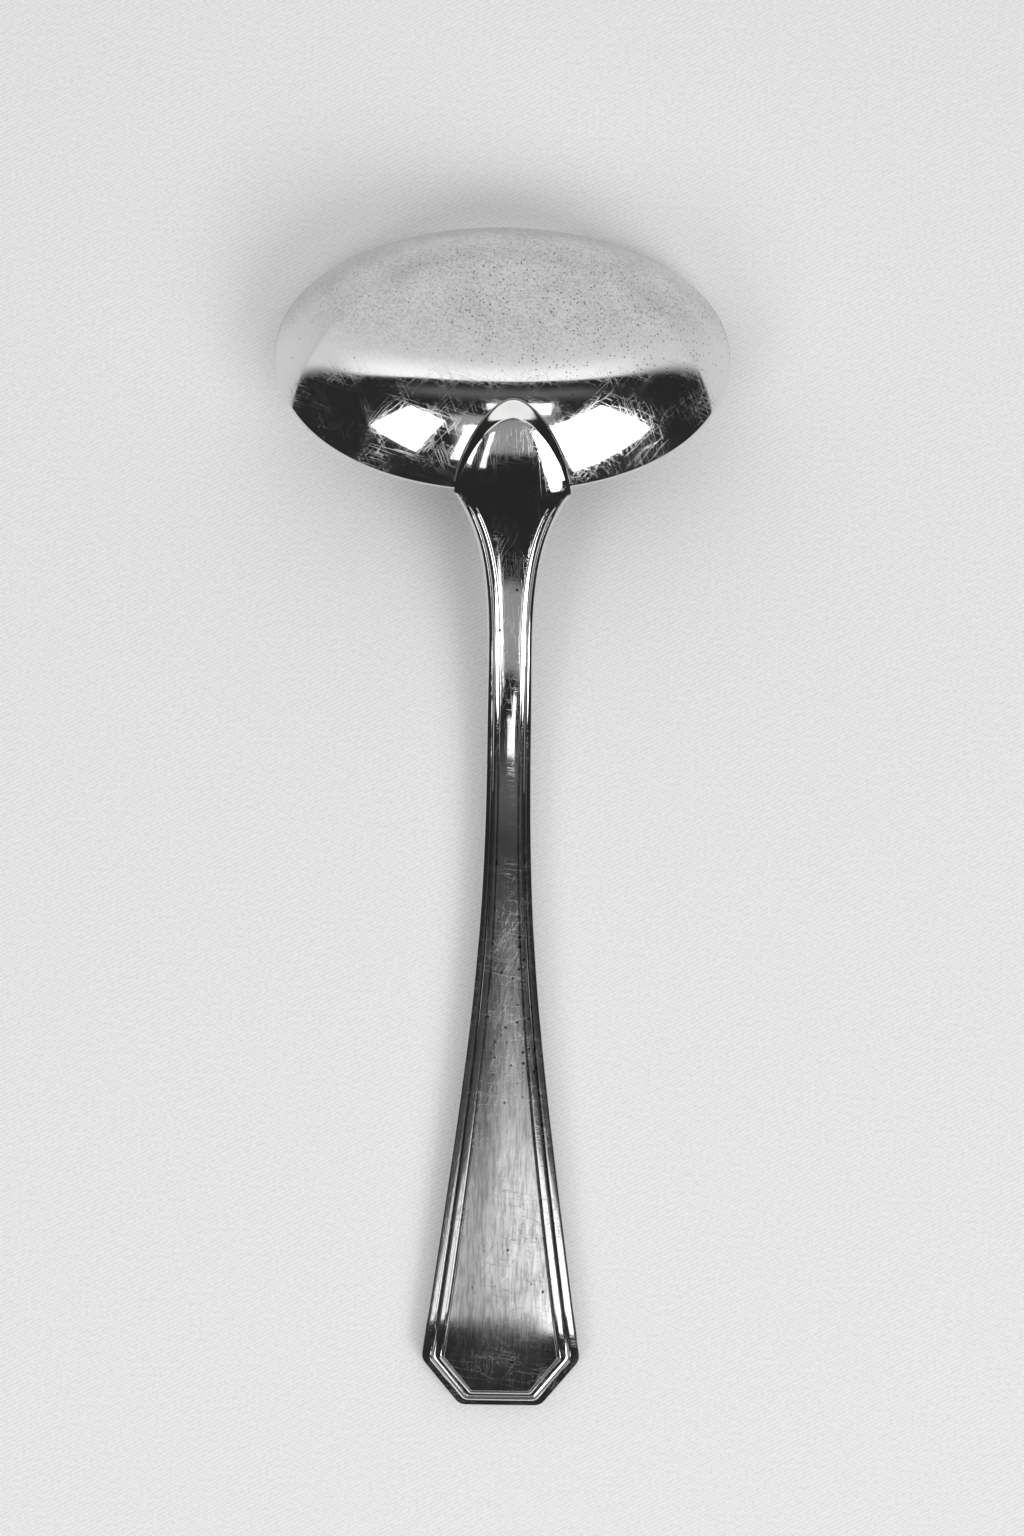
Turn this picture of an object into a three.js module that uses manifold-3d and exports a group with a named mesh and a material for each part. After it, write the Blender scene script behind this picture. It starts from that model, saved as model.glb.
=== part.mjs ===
// Sauce spoon lying face down: bowl at +Y, handle end at -Y, the bowl's back up at +Z, table at z = 0.
// All sizes are millimetres and degrees. Plan sizes are measured flat along the table.
import * as THREE from "three";
import Module from "manifold-3d";

const wasm = await Module();
wasm.setup();

// Bowl
const BOWL_LENGTH = 69.2; // rim, across the handle's line
const BOWL_WIDTH = 46.45; // rim, along the handle's line
const BOWL_DEPTH = 15; // rim plane to the outside of the crown
const BOWL_FULLNESS = 3; // power of the dome curve, 2 would be a paraboloid
const RIM_FULLNESS = 2.1; // power of the rim's oval, 2 would be an ellipse
const BOWL_WALL = 1.2;
const RIM_ROUND = 0.2; // eased edges of the rim land
const RIM_TILT = 26; // rim plane against the table
const BOWL_OFFSET = 1.8; // the bowl is soldered on this far to the left of the handle's line

// Drop of the handle on the bowl's back, in plan from the near rim
const DROP_REACH = 13.2; // rim to the tip of the drop's foot
const DROP_TOP_REACH = 10.5; // rim to the tip of its raised top
const DROP_RISE = 2.3; // top above the bowl's back at the rim
const DROP_TIP_RISE = 1.3; // top above the bowl's back at its tip
const DROP_EDGE_RISE = 0.7; // foot's edge above the bowl's back
const DROP_COVE = 0.6; // width of the cove at the shoulders

// Handle in plan
const HANDLE_REACH = 138.5; // near rim to the end edge
const SHOULDER_WIDTH = 17.4;
const NECK_WIDTH = 6.85;
const NECK_FROM_RIM = 26; // the neck is narrowest from here
const NECK_TO_RIM = 36; // to here, measured from the rim
const END_WIDTH = 24.2; // across the corners of the canted end
const END_EDGE = 12.4; // straight edge at the end
const CANT_RUN = 7.1; // cants measured along the handle
const CORNER_ROUND = 0.9;

// Handle in side view
const END_THICKNESS = 2.1;
const NECK_THICKNESS = 3.4;
const SHAFT_FROM_RIM = 52; // the neck's curve has run out here
const SHAFT_RISE = 6; // back of the shaft above the table there
const END_RUN = 11; // from the end edge to the bend in front of it
const END_BEND = 7; // length over which that bend is rounded
const END_DIP = 8.3; // slope of the end from the bend down to the table

// Cross-section of the handle
const NECK_CROWN = 0.95; // fall of the back from the middle to the edge
const END_CROWN = 0.5;
const REED_AT_NECK = 0.93; // one reed of the double border
const REED_AT_END = 1.58;
const REED_ON_CANT = 1.3;
const REED_ON_END = 1;
const GROOVE_DEPTH = 0.3;
const GROOVE_FRONT = 0.2;
const REED_START = 2.2; // the grooves begin this far from the rim
const REED_RUNOUT = 1.2; // and reach their depth over this length
const FRONT_SETBACK = 0.4; // front of the handle past the rim's outer edge

// Solder between the drop and the bowl
const SOLDER_FILM = 0.15;
const SOLDER_CLEARANCE = 0.1; // on both sides of the film
const SOLDER_RUNOUT = 0.45; // film showing round the drop
const SOLDER_SETBACK = 1.4; // the film ends this far from the rim

// Fineness of the surfaces
const AROUND = 84;
const DOWN = 14;
const ACROSS = 5;

const SOLID = {
  silver: { color: 0xd8d8d6, roughness: 0.12, metalness: 1 },
  worn: { color: 0xcfcfce, roughness: 0.16, metalness: 1 },
  solder: { color: 0xb9b7ae, roughness: 0.35, metalness: 1 },
};

const mix = THREE.MathUtils.lerp;
const ease = THREE.MathUtils.smoothstep;

// Values shared by the pieces
const halfLength = BOWL_LENGTH / 2;
const halfWidth = BOWL_WIDTH / 2;
const tilt = THREE.MathUtils.degToRad(RIM_TILT);
const seatGap = SOLDER_FILM + 2 * SOLDER_CLEARANCE;

// Share of the way from the bowl's middle to its rim, in the bowl's own frame
function rimShare(x, y) {
  const across = Math.pow(Math.abs(x) / halfLength, RIM_FULLNESS);
  const along = Math.pow(Math.abs(y) / halfWidth, RIM_FULLNESS);
  return Math.pow(across + along, 1 / RIM_FULLNESS);
}

// Dome of the bowl's back over its rim plane
function domeHeight(x, y) {
  return BOWL_DEPTH * (1 - Math.pow(rimShare(x, y), BOWL_FULLNESS));
}

function domeNormal(x, y) {
  const rho = Math.max(rimShare(x, y), 1e-6);
  const pull = BOWL_DEPTH * BOWL_FULLNESS * Math.pow(rho, BOWL_FULLNESS - RIM_FULLNESS);
  const lean = (value, half) => Math.sign(value) * Math.pow(Math.abs(value) / half, RIM_FULLNESS - 1) / half;
  return new THREE.Vector3(pull * lean(x, halfLength), pull * lean(y, halfWidth), 1).normalize();
}

// Point of the rim's oval of the given half sizes, at one of the evenly spread places round it
function ovalPoint(k, halfX, halfY) {
  const angle = (2 * Math.PI * k) / AROUND;
  const reach = (value) => Math.sign(value) * Math.pow(Math.abs(value), 2 / RIM_FULLNESS);
  return new THREE.Vector2(halfX * reach(Math.cos(angle)), halfY * reach(Math.sin(angle)));
}

// The bowl's frame turned onto the table: the far rim touches it and the near rim is lifted
const bowlPlace = new THREE.Matrix4().makeRotationX(-tilt);
const bowlMiddle = new THREE.Vector3(
  -BOWL_OFFSET,
  halfWidth * Math.cos(tilt),
  (halfWidth - RIM_ROUND) * Math.sin(tilt),
);
bowlPlace.setPosition(bowlMiddle);
const rimY = 0;

// Height of the bowl's back above the table at a plan point; past the rim the curve runs on
function backHeight(planX, planY) {
  const x = planX - bowlMiddle.x;
  let low = -halfWidth * 1.5;
  let high = halfWidth;
  for (let step = 0; step < 40; step += 1) {
    const middle = (low + high) / 2;
    const reached = bowlMiddle.y + middle * Math.cos(tilt) + domeHeight(x, middle) * Math.sin(tilt);
    if (reached < planY) low = middle;
    else high = middle;
  }
  return bowlMiddle.z - low * Math.sin(tilt) + domeHeight(x, low) * Math.cos(tilt);
}

// One closed skin from rings of points; a ring of one point is a pole
function skin(rings) {
  const points = [];
  const faces = [];
  const starts = rings.map((ring) => {
    const start = points.length;
    points.push(...ring);
    return start;
  });
  for (let level = 0; level + 1 < rings.length; level += 1) {
    const upper = rings[level];
    const lower = rings[level + 1];
    const count = Math.max(upper.length, lower.length);
    for (let k = 0; k < count; k += 1) {
      const next = (k + 1) % count;
      const a = starts[level] + (upper.length === 1 ? 0 : k);
      const b = starts[level] + (upper.length === 1 ? 0 : next);
      const c = starts[level + 1] + (lower.length === 1 ? 0 : k);
      const d = starts[level + 1] + (lower.length === 1 ? 0 : next);
      if (lower.length > 1) faces.push(a, c, d);
      if (upper.length > 1) faces.push(a, d, b);
    }
  }
  return { points, faces };
}

function toSolid({ points, faces }, place = new THREE.Matrix4()) {
  const vertProperties = new Float32Array(points.length * 3);
  points.forEach((point, k) => {
    point.clone().applyMatrix4(place).toArray(vertProperties, k * 3);
  });
  const triVerts = new Uint32Array(faces);
  return new wasm.Manifold(new wasm.Mesh({ numProp: 3, vertProperties, triVerts }));
}

function toMesh(solid, name, finish) {
  const cut = solid.getMesh();
  const geometry = new THREE.BufferGeometry();
  geometry.setAttribute("position", new THREE.BufferAttribute(new Float32Array(cut.vertProperties), 3));
  geometry.setIndex(new THREE.BufferAttribute(new Uint32Array(cut.triVerts), 1));
  geometry.computeVertexNormals();
  const mesh = new THREE.Mesh(geometry, new THREE.MeshStandardMaterial(finish));
  mesh.name = name;
  return mesh;
}

// Rings of the dome, moved out along its normals
function domeRings(offset, lastRho) {
  const rings = [[new THREE.Vector3(0, 0, BOWL_DEPTH + offset)]];
  for (let level = 1; level <= DOWN; level += 1) {
    const rho = lastRho * Math.pow(level / DOWN, 0.9);
    const ring = [];
    for (let k = 0; k < AROUND; k += 1) {
      const { x, y } = ovalPoint(k, halfLength * rho, halfWidth * rho);
      const point = new THREE.Vector3(x, y, domeHeight(x, y));
      ring.push(point.addScaledVector(domeNormal(x, y), offset));
    }
    rings.push(ring);
  }
  return rings;
}

function ovalRing(inset, height) {
  const ring = [];
  for (let k = 0; k < AROUND; k += 1) {
    const { x, y } = ovalPoint(k, halfLength - inset, halfWidth - inset);
    ring.push(new THREE.Vector3(x, y, height));
  }
  return ring;
}

// Solid dome in the bowl's frame, moved out by a gap and carried down past the rim plane
function domeBlock(offset, below) {
  const rings = domeRings(offset, 1);
  const foot = rings[rings.length - 1].map((point) => new THREE.Vector3(point.x, point.y, -below));
  rings.push(foot, [new THREE.Vector3(0, 0, -below)]);
  return toSolid(skin(rings), bowlPlace);
}

// Bowl: outside dome, eased flat land on the rim, and a smaller dome inside
function makeBowl() {
  const easedRho = Math.pow(1 - RIM_ROUND / BOWL_DEPTH, 1 / BOWL_FULLNESS);
  const rings = domeRings(0, easedRho);
  rings.push(ovalRing(RIM_ROUND, 0));
  rings.push(ovalRing(BOWL_WALL - RIM_ROUND, 0));
  const innerDepth = BOWL_DEPTH - BOWL_WALL;
  const innerEased = Math.pow(1 - RIM_ROUND / innerDepth, 1 / BOWL_FULLNESS);
  for (let level = DOWN - 1; level >= 1; level -= 1) {
    const rho = innerEased * Math.pow(level / (DOWN - 1), 0.9);
    const height = innerDepth * (1 - Math.pow(rho, BOWL_FULLNESS));
    const ring = ovalRing(BOWL_WALL, height).map((point) => {
      return new THREE.Vector3(point.x * rho, point.y * rho, height);
    });
    rings.push(ring);
  }
  rings.push([new THREE.Vector3(0, 0, innerDepth)]);
  return toSolid(skin(rings), bowlPlace);
}

// Handle outline. A run is the plan distance from the near rim towards the end.
const cantCorner = HANDLE_REACH - CANT_RUN;

function curve(x0, y0, x1, y1, x2, y2, x3, y3) {
  const v = (x, y) => new THREE.Vector2(x, y);
  return new THREE.CubicBezierCurve(v(x0, y0), v(x1, y1), v(x2, y2), v(x3, y3));
}

// Reads a curve as a value over its first coordinate
function valueAt(bezier, wanted) {
  let low = 0;
  let high = 1;
  for (let step = 0; step < 32; step += 1) {
    const middle = (low + high) / 2;
    if (bezier.getPoint(middle).x < wanted) low = middle;
    else high = middle;
  }
  return bezier.getPoint(low).y;
}

const shoulderFlare = curve(
  0, SHOULDER_WIDTH / 2,
  NECK_FROM_RIM * 0.25, SHOULDER_WIDTH / 2 - NECK_FROM_RIM * 0.17,
  NECK_FROM_RIM * 0.5, NECK_WIDTH / 2,
  NECK_FROM_RIM, NECK_WIDTH / 2,
);
const endFlare = curve(
  NECK_TO_RIM, NECK_WIDTH / 2,
  mix(NECK_TO_RIM, cantCorner, 0.36), NECK_WIDTH / 2,
  mix(NECK_TO_RIM, cantCorner, 0.47), mix(NECK_WIDTH / 2, END_WIDTH / 2, 0.2),
  cantCorner, END_WIDTH / 2,
);

function handleHalfWidth(run) {
  if (run <= NECK_FROM_RIM) return valueAt(shoulderFlare, Math.max(run, 0));
  if (run <= NECK_TO_RIM) return NECK_WIDTH / 2;
  return valueAt(endFlare, run);
}

// Back of the handle in side view, over the run from the rim
const dropTopAtRim = backHeight(0, rimY) + DROP_RISE;
const nearSlope = (backHeight(0, rimY + 0.5) - backHeight(0, rimY)) / 0.5;
const riseFade = (DROP_RISE - DROP_TIP_RISE) / DROP_TOP_REACH;
const rimSlope = nearSlope - riseFade;
const endSlope = Math.tan(THREE.MathUtils.degToRad(END_DIP));
const endTop = END_THICKNESS / Math.cos(THREE.MathUtils.degToRad(END_DIP));
const bendRun = HANDLE_REACH - END_RUN;
const bendTop = endTop + endSlope * END_RUN;
const shaftSlope = (SHAFT_RISE - bendTop) / (bendRun - SHAFT_FROM_RIM);
const neckSide = curve(
  0, dropTopAtRim,
  SHAFT_FROM_RIM * 0.3, dropTopAtRim - rimSlope * SHAFT_FROM_RIM * 0.3,
  SHAFT_FROM_RIM * 0.5, SHAFT_RISE + shaftSlope * SHAFT_FROM_RIM * 0.5,
  SHAFT_FROM_RIM, SHAFT_RISE,
);
const bendStart = bendRun - END_BEND / 2;
const bendEnd = bendRun + END_BEND / 2;
const bendSide = curve(
  bendStart, bendTop + shaftSlope * END_BEND / 2,
  mix(bendStart, bendRun, 0.7), bendTop + shaftSlope * END_BEND * 0.15,
  mix(bendEnd, bendRun, 0.7), bendTop - endSlope * END_BEND * 0.15,
  bendEnd, bendTop - endSlope * END_BEND / 2,
);

function backProfile(run) {
  if (run <= 0) return dropTopAtRim - rimSlope * run;
  if (run <= SHAFT_FROM_RIM) return valueAt(neckSide, run);
  if (run <= bendStart) return SHAFT_RISE - shaftSlope * (run - SHAFT_FROM_RIM);
  if (run <= bendEnd) return valueAt(bendSide, run);
  return endTop + endSlope * (HANDLE_REACH - run);
}

// Upright thickness of the handle; at the rim its front meets the rim's outer edge
function uprightThickness(run) {
  const slope = (backProfile(run + 0.2) - backProfile(run - 0.2)) / 0.4;
  const lean = Math.sqrt(1 + slope * slope);
  const along = ease(run, NECK_TO_RIM, bendRun);
  const body = mix(NECK_THICKNESS, END_THICKNESS, along) * lean;
  return mix(DROP_RISE + FRONT_SETBACK, body, ease(run, 0, NECK_FROM_RIM * 0.5));
}

function reedWidth(run) {
  return mix(REED_AT_NECK, REED_AT_END, ease(run, NECK_TO_RIM, cantCorner));
}

// Rails follow the border; a rail's step counts reeds in from the edge
const BACK_RAILS = [2.2, 2, 1.8, 1.5, 1.2, 1, 0.8, 0.5, 0.2, 0];
const FRONT_RAILS = [0, 0.4, 1, 1.5, 2, 2.2];
const LAST_STEP = 2.2;

// Where a rail's side line meets its own cant, and where the cant meets its end line
function cantLine(step) {
  const from = new THREE.Vector2(END_WIDTH / 2, cantCorner);
  const to = new THREE.Vector2(END_EDGE / 2, HANDLE_REACH);
  const along = to.clone().sub(from).normalize();
  const inward = new THREE.Vector2(-along.y, along.x);
  const shift = inward.multiplyScalar(step * REED_ON_CANT);
  const start = from.clone().add(shift);
  return (run) => start.x + (along.x / along.y) * (run - start.y);
}

function railCorners(step) {
  const cant = cantLine(step);
  let low = NECK_TO_RIM;
  let high = HANDLE_REACH;
  for (let pass = 0; pass < 40; pass += 1) {
    const middle = (low + high) / 2;
    const side = handleHalfWidth(Math.min(middle, cantCorner)) - step * reedWidth(middle);
    if (side < cant(middle)) low = middle;
    else high = middle;
  }
  const first = new THREE.Vector2(cant(low), low);
  const endRun = HANDLE_REACH - step * REED_ON_END;
  const second = new THREE.Vector2(cant(endRun), endRun);
  return { first, second };
}

// Plan rows of one rail on the right side, from the drop's tip to the end's corner
const DROP_ROWS = 11;
const NECK_ROWS = 15;
const SHAFT_ROWS = 26;

function dropCurve(share) {
  const half = SHOULDER_WIDTH / 2 - share * DROP_COVE;
  const reach = mix(DROP_REACH, DROP_TOP_REACH, share);
  return curve(
    0, half,
    reach * 0.42, half * 0.95,
    reach, half * 0.4,
    reach, 0,
  );
}

function railRows(step) {
  const share = step / LAST_STEP;
  const rows = [];
  const arch = dropCurve(share);
  for (let k = DROP_ROWS; k >= 1; k -= 1) {
    const point = arch.getPoint(k / DROP_ROWS);
    rows.push({ x: point.y, run: -point.x });
  }
  const { first, second } = railCorners(step);
  const insetAt = (run) => step * mix(DROP_COVE / LAST_STEP, reedWidth(run), ease(run, 0, REED_START));
  for (let k = 0; k < NECK_ROWS; k += 1) {
    const run = NECK_TO_RIM * Math.pow(k / NECK_ROWS, 1.15);
    rows.push({ x: handleHalfWidth(run) - insetAt(run), run });
  }
  const round = CORNER_ROUND * (1 - share);
  const before = first.y - round - 0.05;
  for (let k = 0; k <= SHAFT_ROWS; k += 1) {
    const run = mix(before, NECK_TO_RIM, Math.pow(1 - k / SHAFT_ROWS, 1.5));
    rows.push({ x: handleHalfWidth(Math.min(run, cantCorner)) - insetAt(run), run });
  }
  const cantLength = first.distanceTo(second);
  const hop = (round + 0.05) / cantLength;
  const after = first.clone().lerp(second, hop);
  const last = rows[rows.length - 1];
  rows.push({ x: (last.x + 2 * first.x + after.x) / 4, run: (last.run + 2 * first.y + after.y) / 4 });
  rows.push({ x: after.x, run: after.y });
  const early = first.clone().lerp(second, 1 - hop);
  const inside = second.x - round - 0.05;
  rows.push({ x: early.x, run: early.y });
  rows.push({ x: (early.x + 2 * second.x + inside) / 4, run: (early.y + 2 * second.y + second.y) / 4 });
  rows.push({ x: inside, run: second.y });
  return rows;
}

// Fall of a border point below the smooth face as a share of the groove: rounded reeds between V grooves
function reedFall(step, run) {
  const begun = ease(run, REED_START, REED_START + REED_RUNOUT);
  if (step >= 2) return begun * Math.max(0, 1 - (step - 2) / (LAST_STEP - 2));
  const across = Math.abs(2 * (step - Math.floor(step)) - 1);
  return begun * Math.pow(across, 2.2);
}

function dropHeight(x, run, share) {
  const forward = Math.min(-run / DROP_TOP_REACH, 1);
  const top = mix(DROP_RISE, DROP_TIP_RISE, forward);
  const side = mix(DROP_RISE * 0.62, DROP_TIP_RISE, forward);
  const middle = 1 - Math.pow(Math.min(Math.abs(x) / (SHOULDER_WIDTH / 2), 1), 2);
  const raised = mix(side, top, middle);
  const cove = Math.pow(share, 1.6);
  return backHeight(x, rimY - run) + mix(DROP_EDGE_RISE, raised, cove);
}

function backPoint(x, run, step) {
  const share = Math.min(step / LAST_STEP, 1);
  const onDrop = 1 - ease(run, -2.5, 2.5);
  const dropZ = onDrop > 0 ? dropHeight(x, Math.min(run, 2.5), share) : 0;
  const half = handleHalfWidth(Math.min(Math.max(run, 0), cantCorner));
  const toNeck = ease(run, 0, NECK_FROM_RIM);
  const shoulderCrown = dropTopAtRim - backHeight(SHOULDER_WIDTH / 2, rimY) - DROP_EDGE_RISE;
  const crownNear = mix(shoulderCrown, NECK_CROWN, toNeck);
  const crown = mix(crownNear, END_CROWN, ease(run, NECK_TO_RIM, cantCorner));
  const reeds = GROOVE_DEPTH * reedFall(step, run);
  const fall = crown * Math.pow(Math.min(Math.abs(x) / half, 1), 2);
  const handleZ = backProfile(run) - fall - reeds;
  return new THREE.Vector3(x, rimY - run, mix(handleZ, dropZ, onDrop));
}

function frontPoint(x, run, step) {
  if (run < 0) {
    const buried = FRONT_SETBACK + BOWL_WALL * 0.6 * ease(-run, 0, 2);
    return new THREE.Vector3(x, rimY - run, backHeight(x, rimY - run) - buried);
  }
  const reeds = GROOVE_FRONT * reedFall(step, run);
  const level = backProfile(run) - uprightThickness(run) + reeds;
  const drop = (backHeight(0, rimY) - backHeight(x, rimY)) * (1 - ease(run, 0, NECK_FROM_RIM * 0.4));
  return new THREE.Vector3(x, rimY - run, level - drop);
}

// One ring of the border: tip, left side, end edge, right side
function borderRing(step, place) {
  const rows = railRows(step);
  const last = rows[rows.length - 1];
  const ring = [];
  rows.forEach((row) => ring.push(place(-row.x, row.run, step)));
  for (let k = 1; k < ACROSS + 1; k += 1) {
    ring.push(place(mix(-last.x, last.x, k / (ACROSS + 1)), last.run, step));
  }
  rows.slice(1).reverse().forEach((row) => ring.push(place(row.x, row.run, step)));
  return ring;
}

// Handle before the bowl is cut from it: border rings over both faces, panels across between them
function handleBlank() {
  const back = BACK_RAILS.map((step) => borderRing(step, backPoint));
  const front = FRONT_RAILS.map((step) => borderRing(step, frontPoint));
  const rings = [...back, ...front];
  const body = skin(rings);
  const size = rings[0].length;
  const rowCount = (size - ACROSS + 1) / 2;
  addPanel(body, 0, size, rowCount, backPoint, false);
  addPanel(body, (rings.length - 1) * size, size, rowCount, frontPoint, true);
  return toSolid(body);
}

// Panel inside the innermost ring, row by row from the tip
function addPanel(body, start, size, rowCount, place, flip) {
  const triangle = (a, b, c) => body.faces.push(...(flip ? [a, c, b] : [a, b, c]));
  let above = null;
  for (let row = 1; row < rowCount; row += 1) {
    const left = start + row;
    const right = start + size - row;
    const line = [left];
    for (let k = 1; k < ACROSS + 1; k += 1) {
      if (row === rowCount - 1) {
        line.push(left + k);
      } else {
        const edge = body.points[left];
        const x = mix(edge.x, -edge.x, k / (ACROSS + 1));
        line.push(body.points.length);
        body.points.push(place(x, rimY - edge.y, LAST_STEP));
      }
    }
    line.push(right);
    for (let k = 0; k < ACROSS + 1; k += 1) {
      if (above === null) {
        triangle(start, line[k], line[k + 1]);
      } else {
        triangle(above[k], line[k], line[k + 1]);
        triangle(above[k], line[k + 1], above[k + 1]);
      }
    }
    above = line;
  }
}

// Upright prism over the drop's foot, grown by a margin, for the solder's extent
function dropPrism(margin) {
  const outline = [];
  const arch = dropCurve(0);
  const steps = 16;
  for (let k = steps; k >= 0; k -= 1) {
    const here = arch.getPoint(k / steps);
    const along = arch.getTangent(k / steps);
    const point = new THREE.Vector2(-(here.y + along.x * margin), here.x - along.y * margin);
    if (point.y > SOLDER_SETBACK) outline.push(point);
  }
  const nearest = outline[outline.length - 1];
  outline.push(new THREE.Vector2(nearest.x, SOLDER_SETBACK));
  const right = outline.slice(1).reverse().map((point) => new THREE.Vector2(-point.x, point.y));
  const loop = [...outline, ...right];
  const high = loop.map((point) => new THREE.Vector3(point.x, rimY + point.y, 60));
  const low = loop.map((point) => new THREE.Vector3(point.x, rimY + point.y, -20));
  const faces = THREE.ShapeUtils.triangulateShape(loop, []);
  const body = skin([high, low]);
  faces.forEach(([a, b, c]) => {
    body.faces.push(a, b, c);
    body.faces.push(a + loop.length, c + loop.length, b + loop.length);
  });
  return toSolid(body);
}

const bowl = makeBowl();
const handle = handleBlank().subtract(domeBlock(seatGap, 8));
const filmOuter = domeBlock(SOLDER_CLEARANCE + SOLDER_FILM, 1);
const filmInner = domeBlock(SOLDER_CLEARANCE, 2);
const solder = filmOuter.subtract(filmInner).intersect(dropPrism(SOLDER_RUNOUT));

const spoon = new THREE.Group();
spoon.name = "sauce_spoon";
const laid = new THREE.Group();
laid.name = "laid_face_down";
laid.add(toMesh(bowl, "bowl", SOLID.silver));
laid.add(toMesh(handle, "handle", SOLID.worn));
laid.add(toMesh(solder, "solder_joint", SOLID.solder));
spoon.add(laid);

// Origin under the middle of the whole, on the table
const box = new THREE.Box3().setFromObject(laid);
laid.position.set(-(box.min.x + box.max.x) / 2, -(box.min.y + box.max.y) / 2, -box.min.z);
spoon.updateMatrixWorld(true);

export default spoon;
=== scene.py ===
"""Sauce spoon laid face down: silver bowl, silver handle and the solder that joins them.

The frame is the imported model's own: metres, +Z up, bowl at +Y, the bowl's back up.
Sizes in the classes are millimetres and degrees, as a maker notes them.
"""

import logging
import math
from dataclasses import dataclass, field
from enum import Enum
from typing import Any

import bpy
import numpy as np
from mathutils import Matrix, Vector


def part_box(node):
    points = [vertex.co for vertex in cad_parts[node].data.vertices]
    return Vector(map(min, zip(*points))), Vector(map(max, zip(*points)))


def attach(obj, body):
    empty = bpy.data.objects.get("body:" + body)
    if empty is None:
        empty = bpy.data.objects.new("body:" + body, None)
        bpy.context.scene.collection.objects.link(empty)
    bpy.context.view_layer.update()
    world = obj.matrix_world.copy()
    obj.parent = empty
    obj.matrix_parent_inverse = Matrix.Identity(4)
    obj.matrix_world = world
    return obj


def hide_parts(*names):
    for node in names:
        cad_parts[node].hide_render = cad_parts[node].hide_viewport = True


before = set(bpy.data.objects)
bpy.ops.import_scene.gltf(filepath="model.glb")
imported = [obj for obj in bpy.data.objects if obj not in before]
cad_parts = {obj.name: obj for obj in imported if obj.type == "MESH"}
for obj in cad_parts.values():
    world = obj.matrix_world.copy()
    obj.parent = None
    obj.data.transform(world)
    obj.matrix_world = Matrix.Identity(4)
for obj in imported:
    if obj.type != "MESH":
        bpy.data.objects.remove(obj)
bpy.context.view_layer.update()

LOG = logging.getLogger("sauce_spoon")
MM = 0.001
BODY = "root"
Tree = bpy.types.NodeTree
Material = bpy.types.Material
Piece = bpy.types.Object


class Slot(Enum):
    """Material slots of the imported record."""

    BOWL = "silver_bowl"
    HANDLE = "silver_handle"
    SOLDER = "hard_solder"


def linear(colour: str) -> tuple[float, float, float, float]:
    """Turns an sRGB hex value into linear colour.

    Args:
        colour: Value such as "#E6E5E2".

    Returns:
        Red, green, blue and an alpha of 1.
    """
    parts = [int(colour[k:k + 2], 16) / 255 for k in (1, 3, 5)]
    red, green, blue = (v / 12.92 if v <= 0.04045 else ((v + 0.055) / 1.055) ** 2.4 for v in parts)
    return red, green, blue, 1.0


def add(tree: Tree, kind: str, inputs: dict[Any, Any], out: Any = 0, **settings: Any) -> Any:
    """Adds one node with its settings, values and links.

    Args:
        tree: Tree that takes the node.
        kind: Type name of the node.
        inputs: Value or linked socket for each input, by its name or number.
        out: Name or number of the output that is handed back.
        **settings: Attributes of the node.

    Returns:
        The chosen output socket, or the node where it has none.
    """
    node = tree.nodes.new(kind)
    for name, value in settings.items():
        setattr(node, name, value)
    for key, value in inputs.items():
        if isinstance(value, bpy.types.NodeSocket):
            tree.links.new(value, node.inputs[key])
        else:
            node.inputs[key].default_value = value
    return node.outputs[out] if node.outputs else node


def maths(tree: Tree, operation: str, *values: Any, clamp: bool = False) -> Any:
    """Adds a math node.

    Args:
        tree: Tree that takes the node.
        operation: Name of the operation.
        *values: Value or linked socket for each input.
        clamp: True to hold the result between 0 and 1.

    Returns:
        Its output socket.
    """
    return add(tree, "ShaderNodeMath", dict(enumerate(values)), operation=operation, use_clamp=clamp)


def ramp(
    tree: Tree, value: Any, start: float, stop: float,
    low: float = 0.0, high: float = 1.0, kind: str = "SMOOTHSTEP",
) -> Any:
    """Adds a node that goes from one level to another while a value goes from start to stop.

    Args:
        tree: Tree that takes the node.
        value: Socket to read.
        start: Value at which the ramp begins.
        stop: Value at which it ends.
        low: Level at the start.
        high: Level at the stop.
        kind: Way it goes, eased or "LINEAR".

    Returns:
        Its output socket.
    """
    span = {"Value": value, "From Min": start, "From Max": stop, "To Min": low, "To Max": high}
    return add(tree, "ShaderNodeMapRange", span, interpolation_type=kind)


def noise(tree: Tree, place: Any, scale: float, detail: float, rough: float = 0.5) -> Any:
    """Adds a noise texture.

    Args:
        tree: Tree that takes the node.
        place: Coordinates to read it at.
        scale: Features to a unit of the coordinates.
        detail: Octaves past the first.
        rough: Strength of each octave against the one before.

    Returns:
        Socket with values around 0.5.
    """
    spread = {"Vector": place, "Scale": scale, "Detail": detail, "Roughness": rough}
    return add(tree, "ShaderNodeTexNoise", spread)


def tree_parts(tree: Tree, vector: Any) -> Any:
    """Adds a node that splits a vector.

    Args:
        tree: Tree that takes the node.
        vector: Socket to split.

    Returns:
        Its X, Y and Z outputs.
    """
    node = tree.nodes.new("ShaderNodeSeparateXYZ")
    tree.links.new(vector, node.inputs[0])
    return node.outputs


def new_material(name: str) -> tuple[Material, Tree]:
    """Makes an empty material.

    Args:
        name: Name of the material.

    Returns:
        The material and its tree.
    """
    material = bpy.data.materials.new(name)
    material.use_nodes = True
    material.node_tree.nodes.clear()
    return material, material.node_tree


def shades(tree: Tree, share: Any, first: str, second: str) -> Any:
    """Adds a mix of two hex colours by a share."""
    pair = {0: share, 6: linear(first), 7: linear(second)}
    return add(tree, "ShaderNodeMix", pair, out=2, data_type="RGBA")


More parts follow.
